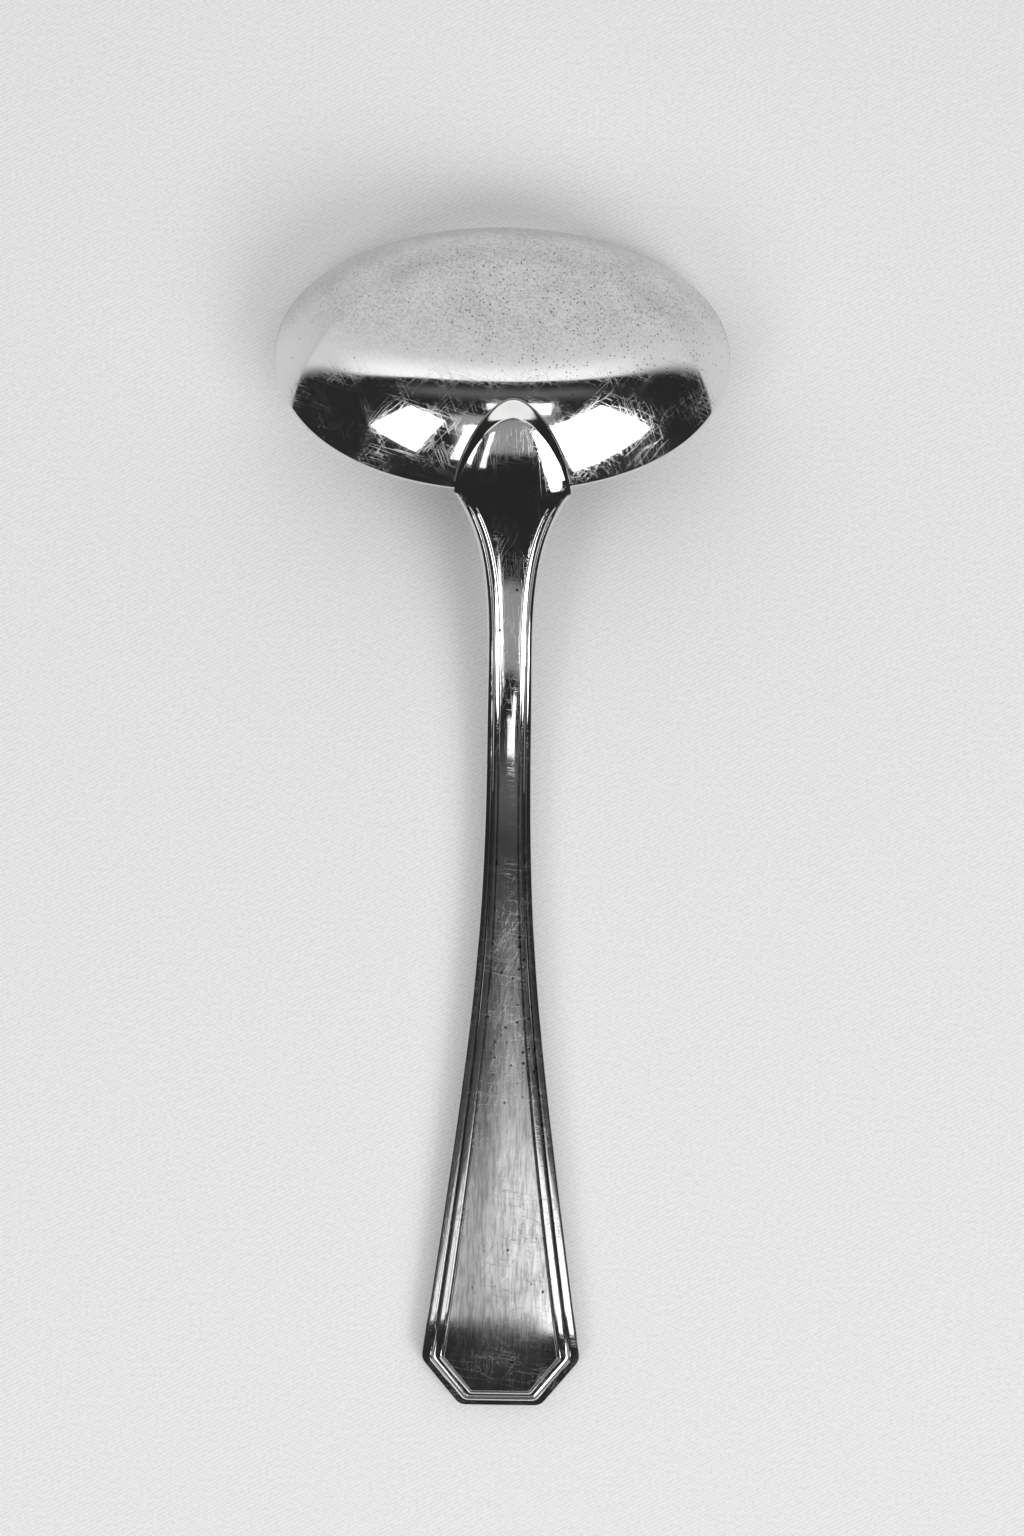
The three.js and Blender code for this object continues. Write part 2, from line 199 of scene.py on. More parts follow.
def surface(tree: Tree, inputs: dict[str, Any]) -> None:
    """Adds the shader with its inputs, and the output."""
    shader = add(tree, "ShaderNodeBsdfPrincipled", inputs)
    add(tree, "ShaderNodeOutputMaterial", {"Surface": shader})


def smooth(value: np.ndarray, low: float, high: float) -> np.ndarray:
    """Eases from 0 at low to 1 at high."""
    share = np.clip((value - low) / (high - low), 0, 1)
    return share * share * (3 - 2 * share)


def blend(first: Any, second: Any, share: Any) -> Any:
    """Goes from the first value to the second by a share."""
    return first + (second - first) * share


@dataclass(frozen=True)
class Curve:
    """Plane cubic curve by its four points."""

    points: tuple[tuple[float, float], ...]

    def at(self, share: np.ndarray) -> np.ndarray:
        """Finds points of the curve.

        Args:
            share: Shares of the way along it.

        Returns:
            One row for each point.
        """
        t = np.asarray(share, float)[..., None]
        a, b, c, d = (np.array(p, float) for p in self.points)
        return (1 - t) ** 3 * a + 3 * (1 - t) ** 2 * t * b + 3 * (1 - t) * t ** 2 * c + t ** 3 * d

    def tangent(self, share: np.ndarray) -> np.ndarray:
        """Finds directions of the curve.

        Args:
            share: Shares of the way along it.

        Returns:
            One unit row for each tangent.
        """
        t = np.asarray(share, float)[..., None]
        a, b, c, d = (np.array(p, float) for p in self.points)
        along = (1 - t) ** 2 * (b - a) + 2 * (1 - t) * t * (c - b) + t ** 2 * (d - c)
        return along / np.linalg.norm(along, axis=-1, keepdims=True)

    def over(self, wanted: np.ndarray) -> np.ndarray:
        """Reads the curve as a graph, by halving.

        Args:
            wanted: First coordinates, which only grow along the curve.

        Returns:
            Second coordinates there.
        """
        wanted = np.asarray(wanted, float)
        low, high = np.zeros_like(wanted), np.ones_like(wanted)
        for _ in range(32):
            middle = (low + high) / 2
            short = self.at(middle)[..., 0] < wanted
            low, high = np.where(short, middle, low), np.where(short, high, middle)
        return self.at(low)[..., 1]


def dress(piece: Piece, node: str, material: Material) -> None:
    """Puts a finished piece in place of its CAD node.

    Args:
        piece: Mesh object at the origin.
        node: CAD node that it stands for.
        material: Finish of the whole piece.
    """
    piece.data.materials.clear()
    piece.data.materials.append(material)
    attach(piece, BODY)
    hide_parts(node)
    LOG.info("%s: %d faces, finish %s", piece.name, len(piece.data.polygons), material.name)


def mesh_object(name: str, points: np.ndarray, faces: list, crease: float) -> Piece:
    """Makes a mesh object from points in millimetres.

    Args:
        name: Name of the object.
        points: One row of three for each vertex.
        faces: Vertex numbers of each face, outwards.
        crease: Angle in degrees past which an edge stays sharp.

    Returns:
        The object, linked to the scene.
    """
    mesh = bpy.data.meshes.new(name)
    mesh.from_pydata((points * MM).tolist(), [], faces)
    mesh.validate()
    mesh.shade_smooth()
    mesh.set_sharp_from_angle(angle=math.radians(crease))
    piece = bpy.data.objects.new(name, mesh)
    bpy.context.scene.collection.objects.link(piece)
    return piece


def quads(rows: int, columns: int, rows_close: bool, columns_close: bool) -> list[tuple[int, ...]]:
    """Faces of a grid of points that are numbered row by row.

    Args:
        rows: Rows of points.
        columns: Points in a row.
        rows_close: True where the last row joins the first.
        columns_close: True where each row is a ring.

    Returns:
        Four point numbers for each face.
    """
    faces = []
    for row in range(rows if rows_close else rows - 1):
        here, below = row * columns, (row + 1) % rows * columns
        for k in range(columns if columns_close else columns - 1):
            after = (k + 1) % columns
            faces.append((here + k, below + k, below + after, here + after))
    return faces


def lamp_pane(name: str, width: float, height: float, radiance: float) -> Piece:
    """Adds an evenly lit rectangle.

    Args:
        name: Name of the lamp.
        width: Width in metres.
        height: Height in metres.
        radiance: Brightness of its face.

    Returns:
        The lamp, at the origin and facing down.
    """
    lamp = bpy.data.lights.new(name, "AREA")
    lamp.shape = "RECTANGLE"
    lamp.size = width
    lamp.size_y = height
    lamp.energy = radiance * math.pi * width * height
    hung = bpy.data.objects.new(name, lamp)
    bpy.context.scene.collection.objects.link(hung)
    LOG.info("%s: %.3f by %.3f m", name, width, height)
    return hung


@dataclass(frozen=True)
class RubbedPatch:
    """Oval patch of a surface, seen from above, that use has dulled."""

    centre: tuple[float, float]
    reach: tuple[float, float]
    gone: float = 1.2
    full: float = 0.7

    def mask(self, tree: Tree, place: Any) -> Any:
        """Adds a mask that is 1 up to the full share of the reach and 0 past the share where it is gone.

        Args:
            tree: Shader tree.
            place: Object coordinates in millimetres.

        Returns:
            Socket with the mask.
        """
        offset = add(tree, "ShaderNodeVectorMath", {0: place, 1: (*self.centre, 0)}, operation="SUBTRACT")
        unit = (1 / self.reach[0], 1 / self.reach[1], 0)
        scaled = add(tree, "ShaderNodeVectorMath", {0: offset, 1: unit}, operation="MULTIPLY")
        far = add(tree, "ShaderNodeVectorMath", {0: scaled}, out="Value", operation="LENGTH")
        return ramp(tree, far, self.gone, self.full)


@dataclass(frozen=True)
class SilverPlate:
    """Silver plate, struck and then buffed: a dark clear mirror with scratches, pits and a soft haze."""

    # Scratches, pits and grain are drawn coarser than life, to show in a picture of the whole spoon.
    # A stroke is an angle, a spacing and a length; the grain and the streaks have a size across and along.
    name: str
    colour: str
    tarnish: str
    mirror: float
    haze: float
    rubbed: RubbedPatch
    pitted: RubbedPatch
    strokes: tuple[tuple[float, float, float], ...]
    scratch_dull: float
    grain: tuple[float, float]
    pit_spacing: float
    seed: float
    border_spared: float = 0.75
    groove_dull: float = 0.12
    groove_dark: float = 0.65
    pit_dark: float = 0.9
    pit_chance: float = 0.34
    stray_pit_chance: float = 0.012
    pit_edge: float = 0.32
    pit_floor: float = 0.14
    scratch_width: float = 0.014
    scratch_relief: float = 0.35
    scratch_patch: float = 6.25
    stroke_shift: float = 7.0
    mark_depth: float = 0.02
    ripple_spacing: float = 9.0
    ripple_depth: float = 0.03
    mottle_spacing: float = 7.0
    mottle_dark: float = 0.24
    grain_dark: float = 0.3
    streak: tuple[float, float, float] = (0.8, 12.0, 6.0)

    def build(self) -> Material:
        """Makes the material.

        Returns:
            The finished material.
        """
        material, tree = new_material(self.name)
        metres = add(tree, "ShaderNodeTexCoord", {}, out="Object")
        place = add(tree, "ShaderNodeVectorMath", {0: metres, "Scale": 1 / MM}, operation="SCALE")
        scratches = self._scratches(tree, place)
        pits = self._pits(tree, place)
        groove = add(tree, "ShaderNodeAttribute", {}, out="Fac", attribute_name="groove")
        border = add(tree, "ShaderNodeAttribute", {}, out="Fac", attribute_name="border")
        spared = maths(tree, "MULTIPLY_ADD", border, -self.border_spared, 1.0)
        rubbed = maths(tree, "MULTIPLY", self.rubbed.mask(tree, place), spared)

        dull = maths(tree, "MULTIPLY", rubbed, self._cloud(tree, place))
        rough = maths(tree, "MULTIPLY_ADD", dull, self.haze - self.mirror, self.mirror)
        rough = maths(tree, "MULTIPLY_ADD", scratches, self.scratch_dull, rough)
        rough = maths(tree, "MULTIPLY_ADD", groove, self.groove_dull, rough)

        dark = self._bloom(tree, place, rubbed)
        dark = maths(tree, "MULTIPLY_ADD", groove, self.groove_dark, dark)
        dark = maths(tree, "MULTIPLY_ADD", pits, self.pit_dark, dark, clamp=True)
        colour = shades(tree, dark, self.colour, self.tarnish)

        hollow = maths(tree, "MULTIPLY", scratches, -self.scratch_relief)
        hollow = maths(tree, "SUBTRACT", hollow, pits)
        relief = {"Strength": 0.3, "Distance": self.mark_depth * MM, "Height": hollow}
        marks = add(tree, "ShaderNodeBump", relief)
        wave = noise(tree, place, 1 / self.ripple_spacing, 1.0)
        relief = {"Strength": 0.6, "Distance": self.ripple_depth * MM, "Height": wave, "Normal": marks}
        normal = add(tree, "ShaderNodeBump", relief)
        surface(tree, {"Base Color": colour, "Metallic": 1.0, "Roughness": rough, "Normal": normal})
        return material

    def _scratches(self, tree: Tree, place: Any) -> Any:
        """Adds fine scratches: thin level lines of stretched noise, one set for each stroke's direction.

        Args:
            tree: Shader tree.
            place: Object coordinates in millimetres.

        Returns:
            Socket that is 1 in a scratch.
        """
        patchy = noise(tree, place, 1 / self.scratch_patch, 1.0)
        few = ramp(tree, patchy, 0.4, 0.7, low=0.3, kind="LINEAR")
        total = 0.0
        for number, (angle, spacing, length) in enumerate(self.strokes):
            turn = {
                "Vector": place,
                "Location": (self.seed, number * self.stroke_shift, 0),
                "Rotation": (0, 0, math.radians(angle)),
                "Scale": (spacing, length, length),
            }
            laid = add(tree, "ShaderNodeMapping", turn, vector_type="TEXTURE")
            away = maths(tree, "SUBTRACT", noise(tree, laid, 1.0, 2.0, 0.6), 0.5)
            line = ramp(tree, maths(tree, "ABSOLUTE", away), self.scratch_width, 0.0, kind="LINEAR")
            line = maths(tree, "MULTIPLY", line, few)
            total = maths(tree, "MAXIMUM", total, line)
        return total

    def _pits(self, tree: Tree, place: Any) -> Any:
        """Adds pits where the plate has corroded: sparse spots, close together in the pitted patch.

        Args:
            tree: Shader tree.
            place: Object coordinates in millimetres.

        Returns:
            Socket that is 1 in a pit.
        """
        cells = {"Vector": place, "Scale": 1 / self.pit_spacing}
        near = add(tree, "ShaderNodeTexVoronoi", cells, out="Distance")
        cell = add(tree, "ShaderNodeTexVoronoi", cells, out="Color")
        luck = add(tree, "ShaderNodeSeparateColor", {0: cell}, out="Red")
        patch = self.pitted.mask(tree, place)
        chance = maths(tree, "MULTIPLY_ADD", patch, self.pit_chance, self.stray_pit_chance)
        struck = maths(tree, "LESS_THAN", luck, chance)
        spot = ramp(tree, near, self.pit_edge, self.pit_floor, kind="LINEAR")
        return maths(tree, "MULTIPLY", spot, struck)

    def _bloom(self, tree: Tree, place: Any, rubbed: Any) -> Any:
        """Adds the faint grey bloom and grain of silver that is rubbed rather than buffed.

        Args:
            tree: Shader tree.
            place: Object coordinates in millimetres.
            rubbed: Mask of the rubbed patch.

        Returns:
            Socket with the share of tarnish.
        """
        mottle = noise(tree, place, 1 / self.mottle_spacing, 8.0, 0.75)
        bloom = ramp(tree, mottle, 0.36, 0.7, high=self.mottle_dark, kind="LINEAR")
        across, along = self.grain
        laid = add(tree, "ShaderNodeMapping", {"Vector": place, "Scale": (1 / across, 1 / along, 1 / along)})
        fine = ramp(tree, noise(tree, laid, 1.0, 1.0), 0.4, 0.68, high=self.grain_dark, kind="LINEAR")
        return maths(tree, "MULTIPLY", maths(tree, "ADD", bloom, fine), rubbed)

    def _cloud(self, tree: Tree, place: Any) -> Any:
        """Adds the uneven haze of hand polishing, in fine streaks drawn out along the spoon.

        Args:
            tree: Shader tree.
            place: Object coordinates in millimetres.

        Returns:
            Socket from 0.8 to 1.2.
        """
        drawn = add(tree, "ShaderNodeMapping", {"Vector": place, "Scale": tuple(1 / v for v in self.streak)})
        return ramp(tree, noise(tree, drawn, 1.0, 4.0), 0.3, 0.7, 0.8, 1.2, "LINEAR")


@dataclass(frozen=True)
class HardSolder:
    """Silver solder, filed and buffed with the joint: greyer and duller than the plate."""

    name: str = "hard_solder_buffed"
    light: str = "#B9B7B1"
    dark: str = "#6F6C66"
    grain: float = 0.5
    roughness: tuple[float, float] = (0.18, 0.42)
    relief: float = 0.02

    def build(self) -> Material:
        """Makes the material.

        Returns:
            The finished material.
        """
        material, tree = new_material(self.name)
        metres = add(tree, "ShaderNodeTexCoord", {}, out="Object")
        mottle = noise(tree, metres, 1 / (self.grain * MM), 3.0)
        colour = shades(tree, mottle, self.light, self.dark)
        rough = ramp(tree, mottle, 0.0, 1.0, *self.roughness, kind="LINEAR")
        relief = {"Strength": 0.3, "Distance": self.relief * MM, "Height": mottle}
        normal = add(tree, "ShaderNodeBump", relief)
        surface(tree, {"Base Color": colour, "Metallic": 1.0, "Roughness": rough, "Normal": normal})
        return material


@dataclass(frozen=True)
class TableCloth:
    """Pale cotton laid flat: matt, with the faint slant of its twill."""

    name: str = "cotton_twill_pale"
    light: str = "#FFFFFF"
    dark: str = "#EAEAEA"
    rib: float = 0.55
    rib_share: float = 0.45
    slant: float = -28.0

    def build(self) -> Material:
        """Makes the material.

        Returns:
            The finished material.
        """
        material, tree = new_material(self.name)
        metres = add(tree, "ShaderNodeTexCoord", {}, out="Object")
        turn = {"Vector": metres, "Rotation": (0, 0, math.radians(self.slant))}
        laid = add(tree, "ShaderNodeMapping", turn)
        # A wave repeats after 2 pi / 20 of its scaled coordinate; the ribs are drawn coarser than life
        ribs = {"Vector": laid, "Scale": 2 * math.pi / (20 * self.rib * MM), "Distortion": 1.2, "Detail": 1.0}
        wave = add(tree, "ShaderNodeTexWave", ribs, bands_direction="Y")
        slub = ramp(tree, noise(tree, metres, 1 / (self.rib * MM), 1.0), 0.3, 0.7, kind="LINEAR")
        weave = maths(tree, "MULTIPLY", wave, self.rib_share)
        weave = maths(tree, "MULTIPLY_ADD", slub, 1 - self.rib_share, weave)
        colour = shades(tree, weave, self.light, self.dark)
        surface(tree, {"Base Color": colour, "Roughness": 0.9, "Specular IOR Level": 0.1})
        return material


class BowlRule:
    """Geometry Nodes rule of the bowl: an outer dome, an inner dome and the rim between them."""

    lengths = ("Length", "Width", "Depth", "Wall", "Rim round")
    shares = ("Fullness", "Rim fullness")
    counts = ("Around", "Down", "Rim steps")
    crown_rows = 0.9
    rim_squareness = 0.5
    weld = 0.002

    def __init__(self) -> None:
        """Makes the tree, with its inputs and its result."""
        self.tree = bpy.data.node_groups.new("bowl_rule", "GeometryNodeTree")
        kinds = {name: "NodeSocketFloat" for name in self.lengths + self.shares}
        kinds |= {"Place": "NodeSocketVector", "Tilt": "NodeSocketVector"}
        kinds |= {name: "NodeSocketInt" for name in self.counts}
        kinds |= {"Finish": "NodeSocketMaterial"}
        for name, kind in kinds.items():
            self.tree.interface.new_socket(name=name, in_out="INPUT", socket_type=kind)
        self.tree.interface.new_socket(name="Geometry", in_out="OUTPUT", socket_type="NodeSocketGeometry")
        self.sizes = self.tree.nodes.new("NodeGroupInput").outputs
        self._lay()

    def _lay(self) -> None:
        """Joins the two domes and the rim, sets them in place and gives them their finish."""
        tree, sizes = self.tree, self.sizes
        outer = [self._maths("MULTIPLY", sizes[name], 0.5) for name in ("Length", "Width")]
        outer.append(sizes["Depth"])
        inner = [self._maths("SUBTRACT", size, sizes["Wall"]) for size in outer]
        eased = [self._eased(half[2]) for half in (outer, inner)]
        back = self._dome_skin(outer, eased[0])
        front = self._dome_skin(inner, eased[1])
        rim = self._rim_skin(outer, inner, eased)

        # A grid laid round the oval looks inwards, so the back and the rim are turned over
        back, rim = (add(tree, "GeometryNodeFlipFaces", {0: skin}) for skin in (back, rim))
        joined = tree.nodes.new("GeometryNodeJoinGeometry")
        for skin in (back, front, rim):
            tree.links.new(skin, joined.inputs[0])
        weld = {"Geometry": joined.outputs[0], "Distance": self.weld * MM}
        shell = add(tree, "GeometryNodeMergeByDistance", weld)
        laid = {"Geometry": shell, "Translation": sizes["Place"], "Rotation": sizes["Tilt"]}
        shell = add(tree, "GeometryNodeTransform", laid)
        shell = add(tree, "GeometryNodeSetShadeSmooth", {"Geometry": shell})
        shell = add(tree, "GeometryNodeRealizeInstances", {"Geometry": shell})
        shell = add(tree, "GeometryNodeSetMaterial", {"Geometry": shell, "Material": sizes["Finish"]})
        add(tree, "NodeGroupOutput", {"Geometry": shell})

    def _maths(self, operation: str, *values: Any) -> Any:
        """Adds a math node to the rule."""
        return maths(self.tree, operation, *values)

    def _eased(self, depth: Any) -> Any:
        """Share of the way to the rim at which a dome of some depth stops for the rim's eased edge."""
        left = self._maths("SUBTRACT", 1.0, self._maths("DIVIDE", self.sizes["Rim round"], depth))
        return self._maths("POWER", left, self._maths("DIVIDE", 1.0, self.sizes["Fullness"]))

    def _sheet(self, steps: Any) -> tuple[Any, Any, Any]:
        """Adds a flat grid whose first side runs round the bowl and whose second side runs down it.

        Args:
            steps: Faces down the sheet.

        Returns:
            The grid, its share round and its share down.
        """
        columns = self._maths("ADD", self.sizes["Around"], 1.0)
        rows = self._maths("ADD", steps, 1.0)
        size = {"Size X": 1.0, "Size Y": 1.0, "Vertices X": columns, "Vertices Y": rows}
        grid = add(self.tree, "GeometryNodeMeshGrid", size)
        spot = add(self.tree, "GeometryNodeInputPosition", {})
        moved = add(self.tree, "ShaderNodeVectorMath", {0: spot, 1: (0.5, 0.5, 0.0)}, operation="ADD")
        parts = tree_parts(self.tree, moved)
        return grid, parts["X"], parts["Y"]

    def _bend(self, value: Any, power: Any) -> Any:
        """Raises a value's size to a power and keeps its sign."""
        raised = self._maths("POWER", self._maths("ABSOLUTE", value), power)
        return self._maths("MULTIPLY", raised, self._maths("SIGN", value))

    def _oval(self, grid: Any, turn: Any, level: tuple[Any, Any, Any]) -> Any:
        """Sets a grid's points on the rim's oval, at half sizes and a height that change down the grid.

        Args:
            grid: Grid to shape.
            turn: Share of the way round.
            level: Half length, half width and height of each row.

        Returns:
            The shaped surface.
        """
        angle = self._maths("MULTIPLY", turn, 2 * math.pi)
        power = self._maths("DIVIDE", 2.0, self.sizes["Rim fullness"])
        sides = []
        for half, wave in zip(level, ("COSINE", "SINE")):
            reach = self._bend(self._maths(wave, angle), power)
            sides.append(self._maths("MULTIPLY", reach, half))
        point = add(self.tree, "ShaderNodeCombineXYZ", {0: sides[0], 1: sides[1], 2: level[2]})
        return add(self.tree, "GeometryNodeSetPosition", {"Geometry": grid, "Position": point})

    def _dome_skin(self, half: list[Any], eased: Any) -> Any:
        """Adds one dome: its height falls from the crown by a power of the share out to the rim.

        Args:
            half: Half length, half width and depth.
            eased: Share at which the dome stops.

        Returns:
            The dome's surface.
        """
        grid, turn, fall = self._sheet(self.sizes["Down"])
        share = self._maths("MULTIPLY", self._maths("POWER", fall, self.crown_rows), eased)
        sides = [self._maths("MULTIPLY", share, size) for size in half[:2]]
        left = self._maths("SUBTRACT", 1.0, self._maths("POWER", share, self.sizes["Fullness"]))
        height = self._maths("MULTIPLY", left, half[2])
        return self._oval(grid, turn, (sides[0], sides[1], height))

    def _rim_skin(self, outer: list[Any], inner: list[Any], eased: list[Any]) -> Any:
        """Adds the rim: a squared half round from the outer dome's last ring to the inner one's.

        Args:
            outer: Half sizes of the outer dome.
            inner: Half sizes of the inner dome.
            eased: Share at which each dome stops.

        Returns:
            The rim's surface.
        """
        grid, turn, share = self._sheet(self.sizes["Rim steps"])
        angle = self._maths("MULTIPLY", share, math.pi)
        across = self._bend(self._maths("COSINE", angle), self.rim_squareness)
        inset = self._maths("MULTIPLY_ADD", across, -0.5, 0.5)
        sunk = self._bend(self._maths("SINE", angle), self.rim_squareness)
        height = self._maths("MULTIPLY", self._maths("SUBTRACT", 1.0, sunk), self.sizes["Rim round"])
        sides = []
        for ends in zip(outer[:2], inner[:2]):
            start, stop = (self._maths("MULTIPLY", size, part) for size, part in zip(ends, eased))
            sides.append(add(self.tree, "ShaderNodeMix", {0: inset, 2: start, 3: stop}))
        return self._oval(grid, turn, (sides[0], sides[1], height))


@dataclass
class Bowl:
    """Stamped oval bowl: a dome over a tilted oval rim, with one wall thickness and a flat eased rim."""

    length: float = 69.2
    width: float = 46.45
    depth: float = 15.0
    fullness: float = 3.0
    rim_fullness: float = 2.1
    wall: float = 1.2
    rim_round: float = 0.2
    tilt: float = 26.0
    offset: float = 1.8
    around: int = 224
    down: int = 90
    rim_steps: int = 14
    origin: Vector = field(default_factory=Vector)

    def __post_init__(self) -> None:
        """Works out the bowl's middle from the near rim on the handle's line."""
        lean = math.radians(self.tilt)
        self.half_length = self.length / 2
        self.half_width = self.width / 2
        self.lean_cos = math.cos(lean)
        self.lean_sin = math.sin(lean)
        lift = (self.half_width - self.rim_round) * self.lean_sin
        self.middle = np.array((-self.offset, self.half_width * self.lean_cos, lift))

    def dome(self, x: np.ndarray, y: np.ndarray) -> np.ndarray:
        """Gives the back's height over the rim plane, in the bowl's own frame.

        Args:
            x: Distance along the bowl's length.
            y: Distance along its width.

        Returns:
            Heights in millimetres.
        """
        power = self.rim_fullness
        across = np.abs(x / self.half_length) ** power + np.abs(y / self.half_width) ** power
        return self.depth * (1 - across ** (self.fullness / power))

    def back(self, plan_x: np.ndarray, plan_y: np.ndarray) -> np.ndarray:
        """Height of the bowl's back above the table at plan points, running on past the rim.

        Args:
            plan_x: Distance right of the handle's line.
            plan_y: Distance from the near rim into the bowl.

        Returns:
            Heights in millimetres.
        """
        x = np.asarray(plan_x, float) - self.middle[0]
        low = np.full_like(x, -self.half_width * 1.5)
        high = np.full_like(x, self.half_width)
        # Halving finds the point of the tilted dome that stands over the plan point
        for _ in range(40):
            half = (low + high) / 2
            reached = self.middle[1] + half * self.lean_cos + self.dome(x, half) * self.lean_sin
            short = reached < plan_y
            low, high = np.where(short, half, low), np.where(short, high, half)
        return self.middle[2] - low * self.lean_sin + self.dome(x, low) * self.lean_cos

    def off_back(self, plan_x: np.ndarray, plan_y: np.ndarray, gap: float) -> np.ndarray:
        """Gives the height of points that stand off the bowl's back.

        Args:
            plan_x: Distance right of the handle's line.
            plan_y: Distance from the near rim into the bowl.
            gap: Gap, square to the back's slope along the spoon.

        Returns:
            Heights in millimetres.
        """
        here = self.back(plan_x, plan_y)
        slope = (self.back(plan_x, plan_y + 0.1) - here) / 0.1
        return here + gap * np.sqrt(1 + slope ** 2)

    def build(self, material: Material) -> None:
        """Runs the bowl's rule and keeps the result as a plain mesh, in place of its CAD node.

        Args:
            material: Finish that the rule sets.
        """
        piece = bpy.data.objects.new("bowl_shell", bpy.data.meshes.new("bowl_rule"))
        bpy.context.scene.collection.objects.link(piece)
        modifier = piece.modifiers.new("bowl_rule", "NODES")
        modifier.node_group = BowlRule().tree
        place = [v * MM for v in self.middle] + np.array(self.origin)
        values = {
            "Length": self.length * MM,
            "Width": self.width * MM,
            "Depth": self.depth * MM,
            "Wall": self.wall * MM,
            "Rim round": self.rim_round * MM,
            "Fullness": self.fullness,
            "Rim fullness": self.rim_fullness,
            "Place": place.tolist(),
            "Tilt": (-math.radians(self.tilt), 0.0, 0.0),
            "Around": self.around,
            "Down": self.down,
            "Rim steps": self.rim_steps,
            "Finish": material,
        }
        for item in modifier.node_group.interface.items_tree:
            if item.in_out == "INPUT":
                modifier[item.identifier] = values[item.name]
        piece.update_tag()
        bpy.context.view_layer.update()
        evaluated = piece.evaluated_get(bpy.context.evaluated_depsgraph_get())
        plain = bpy.data.meshes.new_from_object(evaluated)
        piece.modifiers.remove(modifier)
        piece.data = plain
        plain.name = "bowl_shell"
        dress(piece, "bowl", material)


